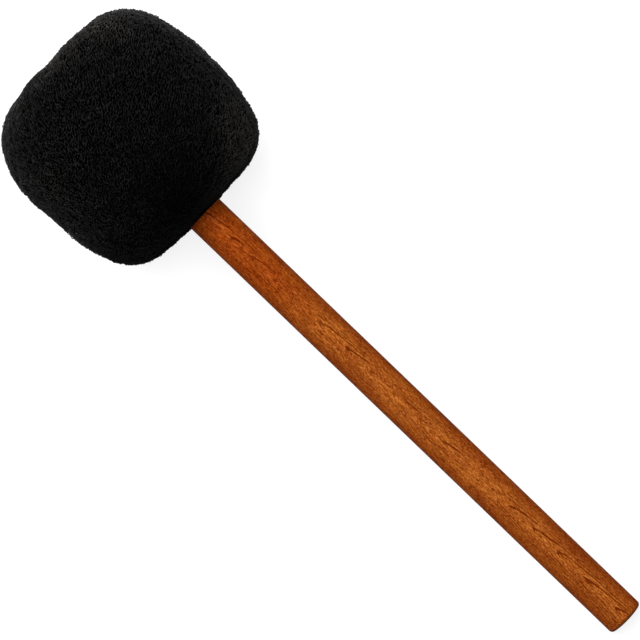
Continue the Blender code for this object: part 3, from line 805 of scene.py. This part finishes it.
outside = []
for share, drop in ((0.2, 0.95), (0.5, 0.8), (0.75, 0.5), (1.0, 0.25), (1.35, 0.12), (1.7, 0.05)):
    radius = DIMPLE_RADIUS * share
    depth = fold_depth(radius, angles)
    outside.append(drawn_in(radius, crown_face - DIMPLE_DEPTH * drop, depth + PILE_STAND))
steps = even_steps(True, mean_radius, mean_power, 2.1 * DIMPLE_RADIUS, COVER_SPACING)
for step in steps[::-1]:
    radius, height = outline_at(True, step, side_radius, side_power)
    outside.append(drawn_in(radius, height, fold_depth(radius, angles) + PILE_STAND))
lip = hem_radius + LIP_RADIUS
for step in even_steps(False, mean_radius, mean_power, lip + 0.002, COVER_SPACING)[1:]:
    radius, height = outline_at(False, step, side_radius, side_power)
    fade = np.clip((radius - lip) / 0.006, 0, 1)
    outside.append(drawn_in(radius, height, fold_depth(radius, angles) + PILE_STAND * fade))
outer_count = len(outside)
for degrees in (20, 45, 70):
    turn = math.radians(degrees)
    radius = lip - LIP_RADIUS * math.sin(turn)
    outside.append(drawn_in(radius, neck_face + LIP_RADIUS * (1 - math.cos(turn)), 0.0))

hem_end = neck_face + WALL + HEM_LENGTH
inner_radius = LEAN_SIDE_RADIUS - WALL
inside = [(hem_radius, neck_face + LIP_RADIUS), (hem_radius, hem_end)]
inside += [(hem_radius + HEM_WALL, hem_end), (hem_radius + HEM_WALL, neck_face + WALL)]
for crown in (False, True):
    steps = even_steps(crown, inner_radius, LEAN_SIDE_POWER, 0.016 if crown else 0.022, 0.004)
    lining = [outline_at(crown, step, LEAN_SIDE_RADIUS, LEAN_SIDE_POWER, WALL) for step in steps]
    inside += lining[1:] if crown else lining[::-1]
inside += [(KNOT_RADIUS, crown_face - WALL), (KNOT_RADIUS, crown_face - WALL - KNOT_LENGTH)]
rings = outside + [drawn_in(radius, height, 0.0) for radius, height in inside]


def swell(points, cell, seed):
    """A smooth noise from -1 to 1 at each point, with lumps of about this size."""
    offset = Vector((seed, 2.0 * seed, 3.0 * seed))
    return np.array([noise.noise(Vector(point) / cell + offset) for point in points])


middle = np.array([0.0, 0.0, widest])
for i in range(outer_count):
    way = rings[i] - middle
    way /= np.linalg.norm(way, axis=1)[:, None]
    lumps = SWELL * swell(rings[i], 0.022, 3.0) + NUB * swell(rings[i], 0.0032, 7.0)
    for degrees, rise, spread in DENTS_AND_BULGES:
        turn = math.radians(degrees)
        nearness = np.clip(way @ np.array([0.0, math.sin(turn), math.cos(turn)]), -1, 1)
        lumps += rise * np.exp(-((np.degrees(np.arccos(nearness)) / spread) ** 2))
    radius = np.hypot(rings[i][:, 0], rings[i][:, 1])
    lumps *= np.clip((radius - lip) / 0.008, 0, 1)
    rings[i] = rings[i] + way * (lumps - NUB)[:, None]
    rings[i] = pressed(rings[i], 0.0004)
points, faces = skin_over(rings)
cover = make_piece("fleece_backing", points, faces, fleece_backing, "fleece_cover")

# %% [markdown]
# ## Pile
#
# Fleece pile is short and curls over in little locks. The roots of the locks are spread evenly: a
# random point on the backing is kept only if no lock stands nearer than the spacing. Each lock is a
# few thin tapered tubes side by side, which arch over and tuck their tips in. The pile has a nap:
# its locks lie mostly one way, and wander from place to place.
#
# Black fleece isn't one black. Locks differ, and so do tufts and wider patches. By the neck the pile is
# painted darker and given less sheen, which is painted shade. On the corners that meet the gong its tips
# are paler and a little brown, which is partly wear and partly painted highlight where the rims catch the
# light. Each spot has a place (up, towards the fuller side, from the butt), a size and a share, and its
# value is kept on the mesh for the material.

# %% Roots of the locks
LOCK_SPACING = 0.00105
CANDIDATES = 200000

random = np.random.default_rng(11)
skin_points = points
quads = faces[0][: (outer_count - 1) * COVER_SIDES]
a, b, c, d = (skin_points[quads[:, i]] for i in range(4))
cross = np.cross(c - a, d - b)
area = np.linalg.norm(cross, axis=1) / 2
outward = cross / np.linalg.norm(cross, axis=1)[:, None]
if (((a + c) / 2 - np.array([0, 0, widest])) * outward).sum() < 0:
    outward = -outward
chosen = random.choice(len(quads), CANDIDATES, p=area / area.sum())
u, v = random.random((2, CANDIDATES, 1))
spots = (a[chosen] * (1 - u) + b[chosen] * u) * (1 - v) + (d[chosen] * (1 - u) + c[chosen] * u) * v


def spread_out(places, spacing):
    """Indices of the points that are kept so that none is nearer to another than the spacing."""
    cells, kept = {}, []
    around = [(i, j, k) for i in (-1, 0, 1) for j in (-1, 0, 1) for k in (-1, 0, 1)]
    for index, place in enumerate(places.tolist()):
        cell = tuple(int(value // spacing) for value in place)
        near = (cells.get(tuple(map(sum, zip(cell, step)))) for step in around)
        if all(other is None or math.dist(place, other) > spacing for other in near):
            cells[cell] = place
            kept.append(index)
    return np.array(kept)


kept = spread_out(spots, LOCK_SPACING)
lock_root, lock_normal = spots[kept], outward[chosen][kept]
LOCKS = len(kept)
print(f"fleece area {1e4 * area.sum():.0f} square centimetres, {LOCKS} locks")

# %% Lie of the locks
LOCK_RISE = (0.0010, 0.0016)
LOCK_REACH = (0.0014, 0.0022)
LOCK_SWING = 0.0003
LEAN_CELL = 0.009
LEAN_WANDER = 0.85
LEAN_SPREAD = 0.3
PATCH_CELL, PATCH_DEPTH = 0.013, 0.4
TUFT_CELL, TUFT_DEPTH = 0.0036, 0.5
# Spots where the pile is painted darker by the neck: painted shade.
PAINTED_SHADE_SPOTS = ((0.050, 0.0, 0.328, 0.028, 0.65), (0.043, -0.008, 0.318, 0.022, 0.55))
# Spots where the tips are paler and browner: partly wear on the corners, partly painted highlight on the
# rims that catch the light.
WEAR_AND_HIGHLIGHT_CELL = 0.006
WORN_AND_LIT_SPOTS = (
    (0.031, 0.033, 0.4266, 0.014, 0.8),
    (0.040, 0.003, 0.4305, 0.013, 0.9),
    (0.034, -0.030, 0.4270, 0.012, 0.4),
    (0.030, 0.046, 0.330, 0.018, 1.3),
    (0.035, 0.034, 0.323, 0.010, 0.6),
    (0.042, 0.034, 0.420, 0.010, 0.6),
    (0.037, -0.049, 0.380, 0.024, 0.35),
    (0.043, -0.036, 0.340, 0.014, 0.2),
)
NAP = along * 0.69 + sideways * 0.72


def unit(vectors):
    return vectors / (np.linalg.norm(vectors, axis=1)[:, None] + 1e-12)


def between(limits, count):
    return random.uniform(*limits, (count, 1))


nap = np.array(mallet_inverse.to_3x3() @ NAP)
wander = np.array([noise.noise_vector(Vector(place) / LEAN_CELL) for place in lock_root])
lean = nap + LEAN_WANDER * wander + LEAN_SPREAD * random.normal(size=(LOCKS, 3))
lean = unit(lean - (lean * lock_normal).sum(axis=1)[:, None] * lock_normal)
aside = np.cross(lock_normal, lean)
rise, reach = between(LOCK_RISE, LOCKS), between(LOCK_REACH, LOCKS)
swing = between((-LOCK_SWING, LOCK_SWING), LOCKS)
lock_tone_and_shade = 0.42 + 0.6 * random.random((LOCKS, 1)) ** 1.5
lock_tone_and_shade *= 1 + PATCH_DEPTH * swell(lock_root, PATCH_CELL, 9.0)[:, None]
lock_tone_and_shade *= 1 + TUFT_DEPTH * swell(lock_root, TUFT_CELL, 4.0)[:, None]
# Painted shade: the locks by the neck are darkened.
for up, side, height, size, share in PAINTED_SHADE_SPOTS:
    away = np.linalg.norm(lock_root - np.array([up, side, height]), axis=1) / size
    lock_tone_and_shade *= 1 - share * np.exp(-(away[:, None] ** 2))
lock_wear_and_highlight = np.zeros(LOCKS)
for up, side, height, size, share in WORN_AND_LIT_SPOTS:
    away = np.linalg.norm(lock_root - np.array([up, side, height]), axis=1) / size
    lock_wear_and_highlight += share * np.exp(-(away**2))
ragged = np.array([noise.noise(Vector(place) / WEAR_AND_HIGHLIGHT_CELL) for place in lock_root])
lock_wear_and_highlight = np.clip(lock_wear_and_highlight * (1 + 0.8 * ragged), 0, 1)


def clear_of_shaft(places):
    """Points near the shaft moved out of it."""
    radius = np.hypot(places[:, 0], places[:, 1])
    least = shaft_radius + 0.0004
    scale = np.where(radius < least, least / np.maximum(radius, 1e-6), 1.0)
    moved = places.copy()
    moved[:, :2] *= scale[:, None]
    return np.where((places[:, 2] < widest)[:, None], moved, places)


# %% Fibres of the locks
FIBRES = 2
SEGMENTS = 4
CORNERS = 3
LOCK_WIDTH = 0.00028
FIBRE_RADIUS = 0.00019
TAPER = (1.0, 1.15, 1.1, 0.9, 0.3)
# Painted shade and highlight along each fibre: darkest at the root, brightest on the crest of the arch.
PAINTED_SHADE_ALONG_FIBRE = (0.05, 0.5, 1.0, 0.65, 0.2)
ARCH = math.radians(70)

tube_points, tube_normals, tube_tones_and_shade = [], [], []
for fibre in range(FIBRES):
    across = (fibre - (FIBRES - 1) / 2) / (FIBRES - 1) + between((-0.15, 0.15), LOCKS)
    size = between((0.8, 1.1), LOCKS)
    shift = between((-0.0003, 0.0003), LOCKS)
    line = []
    for i in range(SEGMENTS + 1):
        t = i / SEGMENTS
        up = rise * size * math.sin(0.84 * math.pi * t) - 0.0003
        forward = reach * size * (t - 0.4) + shift
        sideward = across * LOCK_WIDTH * (1 - 0.4 * t) + swing * math.sin(math.pi * t)
        place = lock_root + lock_normal * up + lean * forward + aside * sideward
        line.append(clear_of_shaft(pressed(place, 0.0005)))
    width = FIBRE_RADIUS * between((0.8, 1.2), LOCKS)
    tone = (lock_tone_and_shade * between((0.6, 1.0), LOCKS))[:, 0]
    ring_points, ring_normals, ring_tones_and_shade = [], [], []
    for i, centre in enumerate(line):
        tangent = unit(line[min(i + 1, SEGMENTS)] - line[max(i - 1, 0)])
        first = unit(np.cross(tangent, aside + 0.3 * lock_normal))
        second = np.cross(tangent, first)
        tilt = ARCH * (i / SEGMENTS - 0.4)
        crest = math.cos(tilt) * lock_normal + math.sin(tilt) * lean + 0.35 * across * aside
        for corner in range(CORNERS):
            turn = math.tau * corner / CORNERS
            away = math.cos(turn) * first + math.sin(turn) * second
            ring_points.append(pressed(centre + width * TAPER[i] * away, 0.0002))
            ring_normals.append(unit(0.6 * crest + away + 0.8 * lock_normal))
            ring_tones_and_shade.append(tone * PAINTED_SHADE_ALONG_FIBRE[i])
    tube_points.append(np.stack(ring_points, axis=1))
    tube_normals.append(np.stack(ring_normals, axis=1))
    tube_tones_and_shade.append(np.stack(ring_tones_and_shade, axis=1))
tube_points, tube_normals = np.concatenate(tube_points), np.concatenate(tube_normals)
tube_tones_and_shade = np.concatenate(tube_tones_and_shade)

# %% [markdown]
# The tubes are too thin to be lit one by one, so the fibres of a lock share the normals of a small
# arched lump, mixed with the skin's own. Each lock then has a lit side and a dark side, but a soft
# one. The pile is split over a few pieces, to keep each at a size that a viewer can open.

# %% Pile pieces
TRIANGLES_A_PIECE = 180000

per_tube = tube_points.shape[1]
walls = []
for i in range(SEGMENTS):
    for corner in range(CORNERS):
        after = (corner + 1) % CORNERS
        low, high = CORNERS * i, CORNERS * (i + 1)
        walls.append((low + corner, low + after, high + after, high + corner))
walls = np.array(walls)
caps = np.array([(0, 2, 1), (per_tube - 3, per_tube - 2, per_tube - 1)])
triangles = len(tube_points) * (2 * len(walls) + len(caps))
pieces = math.ceil(triangles / TRIANGLES_A_PIECE)
for k, chosen in enumerate(np.array_split(np.arange(len(tube_points)), pieces)):
    first = (per_tube * np.arange(len(chosen)))[:, None, None]
    face_sets = [(walls + first).reshape(-1, 4), (caps + first).reshape(-1, 3)]
    places = tube_points[chosen].reshape(-1, 3)
    piece = make_piece(f"fleece_pile_{k + 1}", places, face_sets, black_pile)
    turned = tube_normals[chosen].reshape(-1, 3) @ np.array(mallet_frame.to_3x3()).T
    piece.data.normals_split_custom_set_from_vertices(turned)
    attribute = piece.data.attributes.new("fibre_tone_and_shade", "FLOAT", "POINT")
    attribute.data.foreach_set("value", tube_tones_and_shade[chosen].astype(np.float32).ravel())
    attribute = piece.data.attributes.new("pile_wear_and_highlight", "FLOAT", "POINT")
    worn_and_lit = np.repeat(lock_wear_and_highlight[chosen % LOCKS], per_tube)
    attribute.data.foreach_set("value", worn_and_lit.astype(np.float32))

# %% [markdown]
# ## Inside the head
#
# A strip of grey felt is wound round the core, its ends skived thin so that the roll stays round.
# Twine binds it at both ends, soft wadding goes round it, and white felt pads close the ends. A
# waxed cord ties the hem at the neck, and another closes the crown.

# %% Felt winding
FELT_THICKNESS = 0.004
FELT_TURNS = 4
FELT_SKIVED = 0.0008
FELT_SETBACK = 0.008
SEAT_GAP = 0.0003
WOUND_GAP = 0.0005
FELT_STEPS = 128

felt_start = core_radius + SEAT_GAP
felt_pitch = FELT_THICKNESS + WOUND_GAP
felt_radius = felt_start + FELT_SKIVED + felt_pitch * (FELT_TURNS - 1)
wrap_start, wrap_end = core_start + FELT_SETBACK, core_end - FELT_SETBACK
tail = (FELT_SKIVED + WOUND_GAP) / felt_pitch
stations = np.arange(round(FELT_STEPS * (FELT_TURNS - tail)) + 1) / FELT_STEPS
outer_face = np.minimum(felt_start + FELT_SKIVED + felt_pitch * stations, felt_radius)
before = np.interp(stations - 1, stations, outer_face) + WOUND_GAP
inner_face = np.where(stations < 1, felt_start, before)
rings = []
for turn, high, low in zip(stations, outer_face, inner_face):
    low = min(low, high - 0.0002)
    corners = [(low, wrap_start), (high, wrap_start), (high, wrap_end), (low, wrap_end)]
    loop = rounded(corners, 0.0012, 4)
    angle = math.tau * turn
    rings.append(np.array([(r * math.cos(angle), r * math.sin(angle), z) for r, z in loop]))
points, faces = skin_over(rings)
felt = make_piece("felt_winding", points, faces, grey_felt, "felt_wrap")

# %% Cords wound round the axis
TWIST_PITCH = 0.0042
LOBES = 3


def wound_cord(name, node, turns, diameter, material, sides=12, per_turn=220):
    """A twisted cord in the place of a packed coil: three strands show as lobes of its section."""
    reach, low, high = node_reach(node)
    radius = reach - diameter / 2
    start, end = low + diameter / 2, high - diameter / 2
    count = turns * per_turn
    length = turns * math.tau * radius
    rings = []
    for i in range(count + 1):
        t = i / count
        angle = math.tau * turns * t
        out = np.array([math.cos(angle), math.sin(angle), 0.0])
        centre = out * radius + np.array([0.0, 0.0, start + (end - start) * t])
        lay = math.tau * length * t / TWIST_PITCH
        ring = []
        for j in range(sides):
            around = math.tau * j / sides
            lobe = abs(math.cos(LOBES * (around - lay) / 2))
            size = diameter / 2 * (0.78 + 0.22 * lobe)
            ring.append(centre + size * (math.cos(around) * out + math.sin(around) * np.array([0, 0, 1])))
        rings.append(np.array(ring))
    points, faces = skin_over(rings)
    return make_piece(name, points, faces, material, node)


for end in ("neck", "crown"):
    wound_cord(f"twine_{end}", f"wrap_twine_{end}", 5, 0.0014, linen_twine)
wound_cord("neck_drawcord", "neck_tie", 3, 0.0014, waxed_cord, per_turn=120)
wound_cord("crown_drawcord", "crown_tie", 3, 0.0014, waxed_cord, per_turn=90)

# %% Pads and wadding
PAD_SIDES = 160
PAD_EDGE = 0.0016
PAD_FUZZ = 0.00035
WADDING_FUZZ = 0.0012
GROOVE_GAP = 0.0006


def lining_at(crown, radius):
    """A point a seat gap inside the cover's inner face, at this radius."""
    share = min(1.0, radius / (LEAN_SIDE_RADIUS - WALL - SEAT_GAP))
    step = math.degrees(math.acos(share ** (LEAN_SIDE_POWER / 2)))
    inset = WALL + SEAT_GAP
    return radius, float(outline_at(crown, step, LEAN_SIDE_RADIUS, LEAN_SIDE_POWER, inset)[1])


def soft_ring(name, node, profile, material, fuzz, cell):
    """A turned soft piece, whose surface is drawn in a little, unevenly, from its clearances."""
    points, faces = turned_skin(profile, PAD_SIDES, False)
    corners = np.array([(point[0], point[1]) for point in profile])
    middle = (corners.min(axis=0) + corners.max(axis=0)) / 2
    radius = np.hypot(points[:, 0], points[:, 1])
    centre = points * (middle[0] / radius)[:, None]
    centre[:, 2] = middle[1]
    way = centre - points
    way /= np.linalg.norm(way, axis=1)[:, None]
    depth = fuzz * (0.5 + 0.5 * swell(points, cell, 5.0))
    piece = make_piece(name, points + way * depth[:, None], faces, material, node)
    return piece


def hole_of(node):
    points = [mallet_inverse @ vertex.co for vertex in frame["nodes"][node].data.vertices]
    return min(math.hypot(point.x, point.y) for point in points if point.z > -1.0)


def facing(crown, first_radius, last_radius, count=10):
    radii = np.linspace(first_radius, last_radius, count)
    return [lining_at(crown, radius) for radius in radii]


neck_hole = hole_of("neck_pad")
neck_top = core_start - SEAT_GAP
profile = [(neck_hole, neck_top), (core_radius, neck_top), *facing(False, core_radius, neck_hole)]
soft_ring(
    "neck_pad_felt", "neck_pad", rounded(profile, PAD_EDGE), white_felt,
    PAD_FUZZ, 0.004,
)

_, end_base, end_top = node_reach("end_pad")
knot_hole = KNOT_RADIUS + 2 * 0.0014 + 2 * SEAT_GAP
knot_floor = crown_face - WALL - KNOT_LENGTH - 2 * SEAT_GAP
profile = [(0.0004, knot_floor), (knot_hole, knot_floor)]
profile += [*facing(True, knot_hole, core_radius), (core_radius, end_base), (0.0004, end_base)]
points, faces = turned_skin(rounded(profile, 0.0008), PAD_SIDES, False)
end_pad = make_piece("end_pad_felt", points, faces, white_felt, "end_pad")

wadding_bore = felt_radius + SEAT_GAP
lip_radius = core_radius + SEAT_GAP
widest_inside = LEAN_SIDE_RADIUS - WALL - SEAT_GAP
profile = [(lip_radius, wrap_end + SEAT_GAP)]
profile += facing(True, lip_radius, widest_inside, 40)
profile += facing(False, widest_inside, lip_radius, 40)[1:]
profile += [(lip_radius, wrap_start - SEAT_GAP), (wadding_bore, wrap_start - SEAT_GAP)]
for end in ("neck", "crown"):
    reach, low, high = node_reach(f"wrap_twine_{end}")
    groove = reach + GROOVE_GAP
    profile += [(wadding_bore, low - GROOVE_GAP), (groove, low - GROOVE_GAP)]
    profile += [(groove, high + GROOVE_GAP), (wadding_bore, high + GROOVE_GAP)]
profile.append((wadding_bore, wrap_end + SEAT_GAP))
soft_ring(
    "wadding_ring", "wadding_sleeve", profile, wadding, WADDING_FUZZ, 0.009
)

# %% [markdown]
# ## Hard pieces inside the head
#
# The core, its weight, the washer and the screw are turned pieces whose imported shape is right, so
# they stay as they are and only take their finish.

# %% Finishes of the hard pieces
for node, material in (
    ("core", maple),
    ("weight_ring", turned_steel),
    ("clamp_washer", zinc_plate),
    ("core_screw", zinc_plate),
):
    for material_slot in frame["nodes"][node].material_slots:
        material_slot.material = material
    print(node, "takes", material.name)
